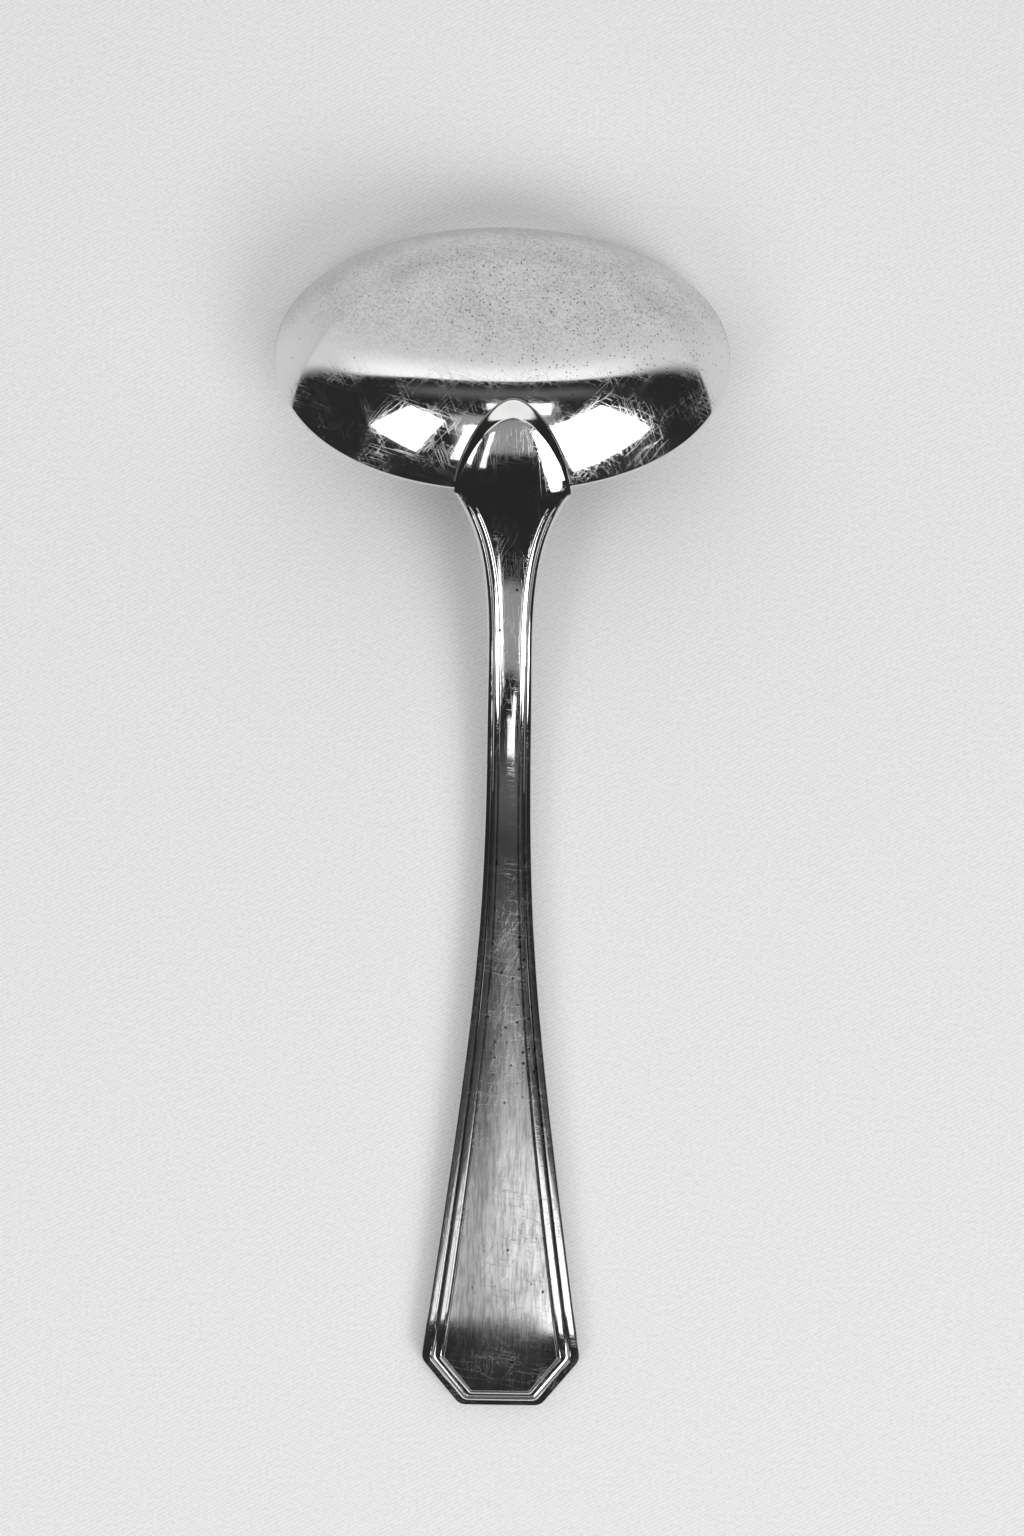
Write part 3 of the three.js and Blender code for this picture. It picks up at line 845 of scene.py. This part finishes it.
@dataclass
class Handle:
    """Die-struck handle: drop on the bowl's back, shoulders, slim neck, canted end and a reeded border."""

    bowl: Bowl
    drop_reach: float = 13.2
    drop_top_reach: float = 10.5
    drop_rise: float = 1.75
    drop_tip_rise: float = 0.75
    drop_edge_rise: float = 0.5
    drop_tip_foot: float = 0.45
    drop_tip_top: float = 1.3
    drop_cove: float = 0.6
    drop_side: float = 0.45
    drop_margin: float = 0.3
    drop_fade_from: float = 4.5
    drop_fade_to: float = 0.6
    reach: float = 138.5
    shoulder_width: float = 17.4
    neck_width: float = 6.85
    neck_from: float = 26.0
    neck_to: float = 36.0
    end_width: float = 24.2
    end_edge: float = 12.4
    cant_run: float = 7.1
    corner_round: float = 0.9
    end_thickness: float = 2.1
    neck_thickness: float = 3.4
    shaft_from: float = 52.0
    shaft_rise: float = 6.0
    end_run: float = 11.0
    end_bend: float = 7.0
    end_dip: float = 8.3
    shoulder_crown: float = 1.35
    neck_crown: float = 0.95
    end_crown: float = 0.5
    shoulder_flatness: float = 3.5
    shaft_flatness: float = 2.0
    reed_at_neck: float = 0.93
    reed_at_end: float = 1.58
    reed_on_cant: float = 1.3
    reed_on_end: float = 1.0
    groove_depth: float = 0.3
    groove_front: float = 0.2
    reed_flatness: float = 4.0
    shaft_reed_flatness: float = 8.0
    edge_fall: float = 0.5
    end_ease: tuple[float, float] = (4.0, 1.0)
    groove_sharpness: float = 12.0
    reed_start: float = 2.2
    reed_runout: float = 1.2
    front_setback: float = 0.4
    seat_gap: float = 0.35
    heel: float = 0.3
    last_step: float = 2.2
    drop_rows: int = 44
    neck_rows: int = 72
    shaft_rows: int = 120
    corner_rows: int = 6
    across: int = 17
    reed_rails: int = 12
    crease: float = 17.0

    def __post_init__(self) -> None:
        """Draws the plan and side curves, with control points at the same shares as in the solids."""
        self.cant_corner = self.reach - self.cant_run
        half_shoulder, half_neck, half_end = self.shoulder_width / 2, self.neck_width / 2, self.end_width / 2
        flare = half_shoulder - self.neck_from * 0.17
        self.shoulder_flare = Curve((
            (0, half_shoulder), (self.neck_from * 0.25, flare),
            (self.neck_from * 0.5, half_neck), (self.neck_from, half_neck),
        ))
        self.end_flare = Curve((
            (self.neck_to, half_neck), (blend(self.neck_to, self.cant_corner, 0.36), half_neck),
            (blend(self.neck_to, self.cant_corner, 0.47), blend(half_neck, half_end, 0.2)),
            (self.cant_corner, half_end),
        ))
        rim_height, rim_further = self.bowl.back(np.zeros(2), np.array((0.0, 0.5)))
        self.drop_top = float(rim_height) + self.drop_rise
        fade = (self.drop_rise - self.drop_tip_rise) / self.drop_top_reach
        self.rim_slope = float(rim_further - rim_height) / 0.5 - fade
        dip = math.radians(self.end_dip)
        self.end_slope = math.tan(dip)
        self.end_top = self.end_thickness / math.cos(dip)
        self.bend_run = self.reach - self.end_run
        bend_top = self.end_top + self.end_slope * self.end_run
        self.shaft_slope = (self.shaft_rise - bend_top) / (self.bend_run - self.shaft_from)
        early, late = self.shaft_from * 0.3, self.shaft_from * 0.5
        self.neck_side = Curve((
            (0, self.drop_top), (early, self.drop_top - self.rim_slope * early),
            (late, self.shaft_rise + self.shaft_slope * late), (self.shaft_from, self.shaft_rise),
        ))
        self.bend_start = self.bend_run - self.end_bend / 2
        self.bend_end = self.bend_run + self.end_bend / 2
        rise, fall = self.shaft_slope * self.end_bend, self.end_slope * self.end_bend
        self.bend_side = Curve((
            (self.bend_start, bend_top + rise / 2),
            (blend(self.bend_start, self.bend_run, 0.7), bend_top + rise * 0.15),
            (blend(self.bend_end, self.bend_run, 0.7), bend_top - fall * 0.15),
            (self.bend_end, bend_top - fall / 2),
        ))

    def half_width(self, run: np.ndarray) -> np.ndarray:
        """Gives half the width of the handle's outline.

        Args:
            run: Runs from the near rim.

        Returns:
            Half widths in millimetres.
        """
        run = np.clip(run, 0, self.cant_corner)
        near = self.shoulder_flare.over(np.minimum(run, self.neck_from))
        far = self.end_flare.over(np.maximum(run, self.neck_to))
        return np.where(run <= self.neck_from, near, np.where(run <= self.neck_to, self.neck_width / 2, far))

    def back_profile(self, run: np.ndarray) -> np.ndarray:
        """Gives the height of the back's middle line above the table.

        Args:
            run: Runs from the near rim.

        Returns:
            Heights in millimetres.
        """
        run = np.asarray(run, float)
        neck = self.neck_side.over(np.clip(run, 0, self.shaft_from))
        shaft = self.shaft_rise - self.shaft_slope * (run - self.shaft_from)
        bend = self.bend_side.over(np.clip(run, self.bend_start, self.bend_end))
        end = self.end_top + self.end_slope * (self.reach - run)
        height = np.where(run <= self.shaft_from, neck, np.where(run <= self.bend_start, shaft, bend))
        height = np.where(run > self.bend_end, end, height)
        return np.where(run <= 0, self.drop_top - self.rim_slope * run, height)

    def thickness(self, run: np.ndarray) -> np.ndarray:
        """Gives the handle's upright thickness.

        Args:
            run: Runs from the near rim.

        Returns:
            Thicknesses in millimetres.
        """
        slope = (self.back_profile(run + 0.2) - self.back_profile(run - 0.2)) / 0.4
        taper = smooth(run, self.neck_to, self.bend_run)
        body = blend(self.neck_thickness, self.end_thickness, taper) * np.sqrt(1 + slope ** 2)
        return blend(self.drop_rise + self.front_setback, body, smooth(run, 0, self.neck_from * 0.5))

    def reed_width(self, run: np.ndarray) -> np.ndarray:
        """Width of one reed of the border at runs from the near rim."""
        return blend(self.reed_at_neck, self.reed_at_end, smooth(run, self.neck_to, self.cant_corner))

    def _from_groove(self, step: float) -> float:
        """Closeness of a step to a groove, 1 in the groove and 0 on a reed's crest."""
        return max(0.0, 1 - (step - 2) / (self.last_step - 2)) if step >= 2 else abs(2 * (step % 1) - 1)

    def reed_fall(self, step: float, run: np.ndarray) -> np.ndarray:
        """Fall of the border below the smooth face, as a share of the groove's depth.

        Args:
            step: Step of the rail.
            run: Runs from the near rim.

        Returns:
            Shares; the reeds are flattest, with the narrowest grooves, along the shaft.
        """
        begun = smooth(run, self.reed_start, self.reed_start + self.reed_runout)
        before, after = self.end_ease
        at_end = smooth(run, self.bend_run - before, self.cant_corner + after)
        if step >= 2:
            return begun * self._from_groove(step)
        on_shaft = smooth(run, self.neck_to, self.neck_to * 2.2) * (1 - at_end)
        power = blend(self.reed_flatness, self.shaft_reed_flatness, on_shaft)
        outer = blend(self.edge_fall, 0.0, at_end) if step < 0.5 else 1.0
        return outer * begun * self._from_groove(step) ** power

    def drop_curve(self, share: float) -> Curve:
        """Draws the drop's outline.

        Args:
            share: Place across the cove, 0 at the foot and 1 on the top.

        Returns:
            Curve of run into the bowl and half width.
        """
        half = self.shoulder_width / 2 - share * self.drop_cove
        reach = blend(self.drop_reach, self.drop_top_reach, share)
        return Curve(((0, half), (reach * 0.42, half * 0.95), (reach, half * 0.4), (reach, 0)))

    def _drop_height(self, x: np.ndarray, run: np.ndarray, share: float) -> np.ndarray:
        """Height of the drop's face over the table.

        Args:
            x: Distance from the handle's line.
            run: Run from the near rim.
            share: Place across the cove, 0 at the foot and 1 on the top.

        Returns:
            Heights in millimetres.
        """
        forward = np.minimum(-run / self.drop_top_reach, 1)
        ahead = np.maximum(forward, 0)
        top = blend(self.drop_rise, self.drop_tip_top, ahead ** 0.7)
        side = blend(self.drop_rise * self.drop_side, self.drop_tip_top, ahead)
        half = self.drop_curve(1).over(np.clip(-run, 0, self.drop_top_reach - 0.01))
        middle = 1 - np.minimum(np.abs(x) / (half + self.drop_margin), 1) ** 4
        raised = blend(side, top, middle)
        foot = blend(self.drop_edge_rise, self.drop_tip_foot, ahead)
        return self.bowl.back(x, -run) + blend(foot, raised, share ** 1.15)

    def back_face(self, x: np.ndarray, run: np.ndarray, step: float) -> np.ndarray:
        """Height of the back at plan points of one rail, a rail's step counting reeds in from the edge.

        Args:
            x: Distance from the handle's line.
            run: Run from the near rim.
            step: Step of the rail.

        Returns:
            Heights in millimetres.
        """
        share = min(step / self.last_step, 1.0)
        on_drop = 1 - smooth(run, -self.drop_fade_from, self.drop_fade_to)
        drop = self._drop_height(x, np.minimum(run, self.drop_fade_to), share)
        crown = blend(self.shoulder_crown, self.neck_crown, smooth(run, 0, self.neck_from))
        crown = blend(crown, self.end_crown, smooth(run, self.neck_to, self.cant_corner))
        on_shaft = smooth(run, self.neck_from * 0.7, self.neck_to)
        flatness = blend(self.shoulder_flatness, self.shaft_flatness, on_shaft)
        fall = crown * np.minimum(np.abs(x) / self.half_width(run), 1) ** flatness
        body = self.back_profile(run) - fall - self.groove_depth * self.reed_fall(step, run)
        return blend(body, drop, on_drop)

    def front_face(self, x: np.ndarray, run: np.ndarray, step: float) -> np.ndarray:
        """Height of the front: on the bowl it follows the seat, past the rim it is the handle's own front.

        Args:
            x: Distance from the handle's line.
            run: Run from the near rim.
            step: Step of the rail.

        Returns:
            Heights in millimetres.
        """
        seat = self.bowl.off_back(x, -run, self.seat_gap)
        level = self.back_profile(run) - self.thickness(run) + self.groove_front * self.reed_fall(step, run)
        at_rim = np.zeros_like(x)
        rim = self.bowl.back(at_rim, at_rim) - self.bowl.back(x, at_rim)
        level = level - rim * (1 - smooth(run, 0, self.neck_from * 0.4))
        return np.where(run < self.heel, seat, level)

    def _rail(self, step: float) -> np.ndarray:
        """Plan rows of one rail on the right side, from the drop's tip to the end edge.

        Args:
            step: Step of the rail.

        Returns:
            Rows of distance from the handle's line and run.
        """
        share = step / self.last_step
        arch = self.drop_curve(share).at(np.arange(self.drop_rows, 0, -1) / self.drop_rows)
        rows = [np.stack((arch[:, 1], -arch[:, 0]), 1)]
        first, second = self._corners(step)
        # Rows stand closer together at the shoulders and at the end
        neck = self.neck_to * (np.arange(self.neck_rows) / self.neck_rows) ** 1.15
        left = (1 - np.arange(self.shaft_rows + 1) / self.shaft_rows) ** 1.5
        # The corners of an inner rail are sharper, but never quite sharp
        hop = self.corner_round * (1 - share) + 0.05
        shaft = blend(first[1] - hop, self.neck_to, left)
        run = np.concatenate((neck, shaft))
        cove = self.drop_cove / self.last_step
        inset = step * blend(cove, self.reed_width(run), smooth(run, 0, self.reed_start))
        rows.append(np.stack((self.half_width(run) - inset, run), 1))
        along = (second - first) / np.linalg.norm(second - first)
        rows.append(self._corner(rows[-1][-1], first, first + along * hop)[1:])
        rows.append(self._corner(second - along * hop, second, second - np.array((hop, 0))))
        return np.concatenate(rows)

    def _corner(self, start: np.ndarray, corner: np.ndarray, stop: np.ndarray) -> np.ndarray:
        """Rounds one corner of a rail.

        Args:
            start: Point before the corner.
            corner: Corner itself.
            stop: Point after it.

        Returns:
            Points of the rounding, ends included.
        """
        t = np.linspace(0, 1, self.corner_rows + 1)[:, None]
        return (1 - t) ** 2 * start + 2 * (1 - t) * t * corner + t ** 2 * stop

    def _corners(self, step: float) -> tuple[np.ndarray, np.ndarray]:
        """Corners of a rail: where its side meets its cant, and where the cant meets its end line.

        Args:
            step: Step of the rail.

        Returns:
            The two plan points, as distance from the handle's line and run.
        """
        start = np.array((self.end_width / 2, self.cant_corner))
        along = np.array((self.end_edge / 2, self.reach)) - start
        along /= np.linalg.norm(along)
        start = start + np.array((-along[1], along[0])) * step * self.reed_on_cant
        low, high = self.neck_to, self.reach
        # Halving finds where the rail's side meets the cant
        for _ in range(40):
            run = (low + high) / 2
            side = float(self.half_width(np.array(run)) - step * self.reed_width(np.array(run)))
            if side < start[0] + along[0] / along[1] * (run - start[1]):
                low = run
            else:
                high = run
        runs = (low, self.reach - step * self.reed_on_end)
        first, second = (np.array((start[0] + along[0] / along[1] * (r - start[1]), r)) for r in runs)
        return first, second

    def _ring(self, step: float) -> np.ndarray:
        """Plan ring of one rail: tip, left side, end edge, right side.

        Args:
            step: Step of the rail.

        Returns:
            Rows of distance from the handle's line and run.
        """
        rows = self._rail(step)
        ends = np.linspace(-rows[-1, 0], rows[-1, 0], self.across + 2)[1:-1]
        edge = np.stack((ends, np.full(self.across, rows[-1, 1])), 1)
        return np.concatenate((rows * (-1, 1), edge, rows[:0:-1]))

    def _reed_steps(self) -> list[float]:
        """Lists the rails, close together beside the grooves.

        Returns:
            Steps from the panel out to the edge.
        """
        # The first rails slope down from the panel to the inner groove
        steps = [self.last_step, 2.15, 2.1, 2.05]
        for reed in (1, 0):
            turns = np.arange(self.reed_rails) * math.pi / self.reed_rails
            steps += [reed + 0.5 + 0.5 * math.cos(turn) for turn in turns]
        return steps + [0.0]

    def build(self, material: Material) -> None:
        """Lofts the border rails over both faces and fills the panels between them.

        Args:
            material: Finish of the handle.
        """
        steps = self._reed_steps()
        points, grooves, borders = [], [], []
        for face, order in ((self.back_face, steps), (self.front_face, steps[::-1])):
            for step in order:
                ring = self._ring(step)
                height = face(ring[:, 0], ring[:, 1], step)
                points.append(np.column_stack((ring[:, 0], -ring[:, 1], height)))
                begun = smooth(ring[:, 1], self.reed_start, self.reed_start + self.reed_runout)
                # The outer edge falls away too, but it holds no tarnish
                groove = self._from_groove(step) ** self.groove_sharpness if step > 0.5 else 0.0
                grooves.append(begun * groove)
                borders.append(np.full(len(ring), float(step <= 2)))
        size = len(points[0])
        faces = quads(len(points), size, rows_close=False, columns_close=True)
        verts = list(np.concatenate(points))
        self._panel(verts, faces, 0, size, self.back_face, flip=False)
        self._panel(verts, faces, (len(points) - 1) * size, size, self.front_face, flip=True)
        place = np.array(verts) + np.array(self.bowl.origin) / MM
        piece = mesh_object("handle_struck", place, faces, self.crease)
        for name, rings in (("groove", grooves), ("border", borders)):
            values = np.zeros(len(verts), np.float32)
            values[:size * len(rings)] = np.concatenate(rings)
            layer = piece.data.attributes.new(name, "FLOAT", "POINT")
            layer.data.foreach_set("value", values)
        dress(piece, "handle", material)

    def _panel(self, verts: list, faces: list, start: int, size: int, face: Any, flip: bool) -> None:
        """Fills the panel inside the innermost ring, row by row from the tip.

        Args:
            verts: Points so far, which it adds to.
            faces: Faces so far, which it adds to.
            start: Number of the ring's first point.
            size: Points in a ring.
            face: Method that gives the panel's height.
            flip: True on the front, whose faces turn the other way.
        """
        row_count = (size - self.across + 1) // 2
        above = [start] * (self.across + 2)
        for row in range(1, row_count):
            left, right = start + row, start + size - row
            if row == row_count - 1:
                line = list(range(left, right + 1))
            else:
                edge = verts[left]
                xs = np.linspace(edge[0], -edge[0], self.across + 2)[1:-1]
                run = np.full(self.across, -edge[1])
                height = face(xs, run, self.last_step)
                line = [left, *range(len(verts), len(verts) + self.across), right]
                verts.extend(np.column_stack((xs, -run, height)))
            for k in range(self.across + 1):
                corners = (above[k], line[k], line[k + 1], above[k + 1])
                corners = corners[:3] if row == 1 else corners
                faces.append(corners[::-1] if flip else corners)
            above = line


@dataclass
class SolderSeam:
    """Hard solder between drop and bowl: a film that runs out in a small fillet round the drop's foot."""

    handle: Handle
    setback: float = 1.4
    rows: int = 60
    crease: float = 40.0
    # Margin outside the drop's foot and height over the bowl of each point of the section
    section: tuple[tuple[float, float], ...] = (
        (-1.2, 0.02), (0.3, 0.01), (0.2, 0.04), (0.13, 0.1), (0.08, 0.2),
        (0.04, 0.34), (0.02, 0.48), (-0.02, 0.33), (-1.2, 0.33),
    )

    def build(self, material: Material) -> None:
        """Sweeps the fillet's section round the drop's foot, over the bowl's back.

        Args:
            material: Finish of the solder.
        """
        arch = self.handle.drop_curve(0)
        share = np.linspace(1, 0, self.rows)
        here, along = arch.at(share), arch.tangent(share)
        keep = here[:, 0] > self.setback
        here, along = here[keep], along[keep]
        half = np.stack((here[:, 1], here[:, 0]), 1)
        out = np.stack((along[:, 0], -along[:, 1]), 1)
        line = np.concatenate((half[::-1] * (-1, 1), half[1:]))
        side = np.concatenate((out[::-1] * (-1, 1), out[1:]))
        rings = []
        for margin, lift in self.section:
            plan = line + side * margin
            height = self.handle.bowl.off_back(plan[:, 0], plan[:, 1], lift)
            rings.append(np.column_stack((plan, height)))
        count, length = len(rings), len(line)
        faces = quads(count, length, rows_close=True, columns_close=False)
        faces.append(tuple(k * length for k in range(count))[::-1])
        faces.append(tuple(k * length + length - 1 for k in range(count)))
        place = np.concatenate(rings) + np.array(self.handle.bowl.origin) / MM
        piece = mesh_object("solder_fillet", place, faces, self.crease)
        dress(piece, "solder_joint", material)


@dataclass(frozen=True)
class Window:
    """Upright lit pane in the studio, by the angles in degrees between which the bowl sees it."""

    name: str
    turn: tuple[float, float]
    rise: tuple[float, float]
    distance: float
    radiance: float

    def hang(self, aim: Vector) -> None:
        """Adds the lamp.

        Args:
            aim: Point that the angles are taken from; a turn of 0 faces the viewer, and right is positive.
        """
        distance = self.distance * MM
        middle = math.radians(sum(self.turn) / 2)
        width = 2 * distance * math.tan(math.radians(self.turn[1] - self.turn[0]) / 2)
        low, high = (distance * math.tan(math.radians(angle)) for angle in self.rise)
        hung = lamp_pane(self.name, width, high - low, self.radiance)
        out = Vector((math.sin(middle), -math.cos(middle), 0))
        hung.location = aim + out * distance + Vector((0, 0, (low + high) / 2))
        hung.rotation_euler = (-out).to_track_quat("-Z", "Y").to_euler()


@dataclass(frozen=True)
class Card:
    """Level card over the handle's side of the table, which the handle's panel and border mirror."""

    name: str
    across: tuple[float, float]
    along: tuple[float, float]
    radiance: float
    height: float = 650.0

    def hang(self) -> None:
        """Adds the card as a lamp that faces down."""
        width, length = ((high - low) * MM for low, high in (self.across, self.along))
        hung = lamp_pane(self.name, width, length, self.radiance)
        hung.location = (sum(self.across) / 2 * MM, sum(self.along) / 2 * MM, self.height * MM)


@dataclass(frozen=True)
class Bay:
    """Dim lit bay of the room on the viewer's side, by angles from straight up in radians."""

    near: tuple[float, float]
    half: float
    level: float
    soft: float

    def light(self, tree: Tree, near: Any, side: Any) -> Any:
        """Adds the bay's light.

        Args:
            tree: World tree.
            near: Angle towards the viewer.
            side: Angle to the right.

        Returns:
            Socket with its light.
        """
        start, stop = self.near
        rise = ramp(tree, near, start - self.soft, start + self.soft)
        fall = ramp(tree, near, stop + self.soft, stop - self.soft)
        wide = maths(tree, "ABSOLUTE", side)
        ends = ramp(tree, wide, self.half + 2 * self.soft, self.half - 2 * self.soft, high=self.level)
        return maths(tree, "MULTIPLY", maths(tree, "MULTIPLY", rise, fall), ends)


@dataclass
class Studio:
    """Pale table in a room, white beyond the bowl and dark behind the viewer, with lit panes and cards."""

    floor_radius: float = 2300.0
    floor_sides: int = 96
    aim: tuple[float, float, float] = (0.0, 65.0, 20.0)
    camera_place: tuple[float, float, float] = (2.3, 7.4, 650.0)
    camera_roll: float = 0.8
    view_height: float = 235.94
    cards: tuple[Card, ...] = (
        Card("card_over_handle", (-50.0, 75.0), (-205.0, -140.0), 1.65),
        Card("card_to_the_right", (75.0, 190.0), (-270.0, -140.0), 1.9),
        Card("card_low_left", (-54.0, -33.0), (-125.0, -84.0), 1.2, 220.0),
    )
    windows: tuple[Window, ...] = (
        Window("pane_right", (21, 61), (27, 52), 1500.0, 5.6),
        Window("pane_slim", (-16, -10), (32, 53), 1500.0, 2.0),
        Window("pane_left", (-55, -29), (32, 53), 1500.0, 4.2),
    )
    bays: tuple[Bay, ...] = (Bay((0.5, 0.88), 0.3, 0.34, 0.03), Bay((0.1, 0.22), 0.55, 0.12, 0.09))
    wall_level: float = 0.79
    wall_glow: float = 0.46
    dark_level: float = 0.025
    edge_lean: float = 0.06
    edge_bow: tuple[float, float] = (0.24, 0.3)
    edge_soft: float = 0.012
    edge_soft_sides: float = 0.12

    def build(self) -> None:
        """Sets floor, room, lamps, camera and the plain view transform."""
        self._floor()
        self._room()
        for window in self.windows:
            window.hang(Vector(self.aim) * MM)
        for card in self.cards:
            card.hang()
        self._camera()
        bpy.context.scene.view_settings.view_transform = "Standard"

    def _floor(self) -> None:
        """Lays a round pale floor under the spoon."""
        turns = np.linspace(0, 2 * math.pi, self.floor_sides, endpoint=False)
        rim = np.column_stack((np.cos(turns), np.sin(turns), np.zeros_like(turns))) * self.floor_radius
        floor = mesh_object("table_cloth", rim, [tuple(range(self.floor_sides))], crease=30)
        floor.data.materials.append(TableCloth().build())

    def _room(self) -> None:
        """Paints the room by direction: near is the angle from above to the viewer, side to the right."""
        world = bpy.data.worlds.new("studio_room")
        world.use_nodes = True
        bpy.context.scene.world = world
        tree = world.node_tree
        tree.nodes.clear()
        x, y, z = tree_parts(tree, add(tree, "ShaderNodeTexCoord", {}, out="Generated"))
        near = maths(tree, "ARCTAN2", maths(tree, "MULTIPLY", y, -1.0), z)
        side = maths(tree, "ARCTAN2", x, z)

        # The white wall ends just beyond the camera, along an edge that bows away and blurs at both sides
        right = maths(tree, "POWER", maths(tree, "MAXIMUM", x, 0.0), 4.0)
        left = maths(tree, "POWER", maths(tree, "MINIMUM", x, 0.0), 8.0)
        edge = maths(tree, "MULTIPLY", z, self.edge_lean)
        for bow, share in zip((left, right), self.edge_bow):
            edge = maths(tree, "MULTIPLY_ADD", bow, share, edge)
        past = maths(tree, "SUBTRACT", y, edge)
        wide = maths(tree, "ADD", right, left)
        soft = maths(tree, "MULTIPLY_ADD", wide, self.edge_soft_sides, self.edge_soft)
        white = ramp(tree, maths(tree, "DIVIDE", past, soft), -1.0, 1.0)

        # Beside the edge the wall is lit more strongly in its middle
        middle = ramp(tree, wide, 0.5, 0.0, high=self.wall_glow, kind="LINEAR")
        level = maths(tree, "MULTIPLY_ADD", middle, ramp(tree, past, 0.4, 0.05), self.wall_level)

        dim = self.dark_level
        for bay in self.bays:
            dim = maths(tree, "ADD", bay.light(tree, near, side), dim)
        shade = add(tree, "ShaderNodeMix", {0: white, 2: dim, 3: level})
        paint = add(tree, "ShaderNodeCombineColor", {0: shade, 1: shade, 2: shade})
        light = add(tree, "ShaderNodeBackground", {"Color": paint, "Strength": 1.0})
        add(tree, "ShaderNodeOutputWorld", {"Surface": light})

    def _camera(self) -> None:
        """Hangs the camera straight above the spoon, at the photograph's height and roll."""
        lens = bpy.data.cameras.new("camera")
        lens.lens = lens.sensor_width * self.camera_place[2] / self.view_height
        camera = bpy.data.objects.new("camera", lens)
        camera.location = [v * MM for v in self.camera_place]
        camera.rotation_euler = (0, 0, math.radians(self.camera_roll))
        bpy.context.scene.collection.objects.link(camera)
        bpy.context.scene.camera = camera


BOWL_SILVER = SilverPlate(
    name="silver_plate_bowl",
    colour="#E3E3E3",
    tarnish="#6C6B6A",
    mirror=0.05,
    haze=0.2,
    rubbed=RubbedPatch((0, 86), (44, 19)),
    pitted=RubbedPatch((14, 77), (26, 13)),
    strokes=((22, 0.8, 16.0), (-44, 0.9, 13.0), (72, 0.8, 16.0)),
    scratch_dull=0.34,
    grain=(0.4, 0.4),
    pit_spacing=0.5,
    seed=3.0,
)
HANDLE_SILVER = SilverPlate(
    name="silver_plate_handle",
    colour="#D9D9D9",
    tarnish="#3E3D3C",
    mirror=0.055,
    haze=0.19,
    rubbed=RubbedPatch((1.8, -48), (15, 38)),
    pitted=RubbedPatch((4, -30), (5, 14)),
    strokes=((4, 0.6, 14.0), (80, 1.3, 9.0), (-30, 1.2, 10.0)),
    scratch_dull=0.16,
    grain=(0.35, 3.0),
    pit_spacing=0.9,
    seed=11.0,
)


def main() -> None:
    """Builds the spoon's three pieces and the studio, and notes the sizes."""
    logging.basicConfig(level=logging.INFO, format="%(message)s")
    low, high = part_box("handle")
    bowl = Bowl()
    handle = Handle(bowl)
    bowl.origin = Vector(((low.x + high.x) / 2, low.y + handle.reach * MM, 0))
    bowl.build(BOWL_SILVER.build())
    handle.build(HANDLE_SILVER.build())
    SolderSeam(handle).build(HardSolder().build())
    Studio().build()


if __name__ == "__main__":
    main()
